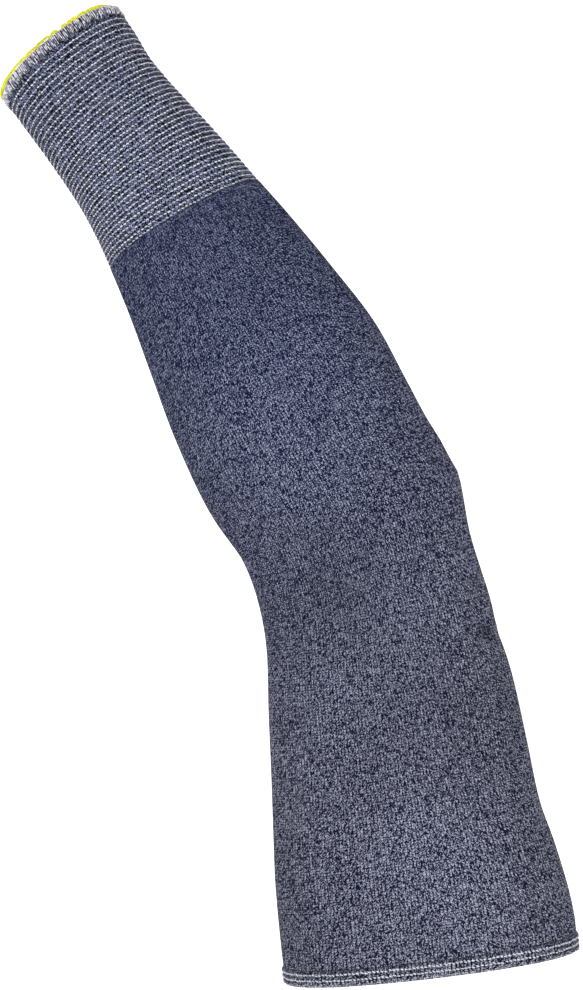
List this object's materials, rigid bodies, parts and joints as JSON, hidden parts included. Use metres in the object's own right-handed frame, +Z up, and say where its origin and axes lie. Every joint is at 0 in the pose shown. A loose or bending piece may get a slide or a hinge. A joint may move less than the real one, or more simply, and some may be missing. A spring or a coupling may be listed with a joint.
{
  "type": "cut resistant sleeve",
  "caption": "Knitted arm guard tube in worn form, bent at the elbow, with a ribbed elastic wrist cuff, an overlocked rim and a turned, double-stitched upper-arm hem.",
  "frame": {"origin": "centre of the upper-arm mouth, in the plane of the hem's edge", "axes": "+Z up along the upper arm to the wrist, +X to the side of the elbow's point, -Y to the front of the sleeve as worn; the arm leans and bends towards -X"},
  "size_m": [0.2568, 0.1011, 0.4352],
  "materials": {
    "body_knit": "matt melange jersey knit in navy and grey yarns",
    "cuff_knit": "matt ribbed knit with white covered elastic",
    "hem_knit": "matt knit, turned twice and stitched in white",
    "binding_thread": "off-white overlock threads",
    "edge_yarn": "bright yellow bulky yarn"
  },
  "bodies": {
    "root": {"sleeve_body": "body_knit", "ribbed_cuff": "cuff_knit", "hem_band": "hem_knit", "cuff_binding": "binding_thread", "cuff_edge_yarn": "edge_yarn"}
  },
  "joints": []
}
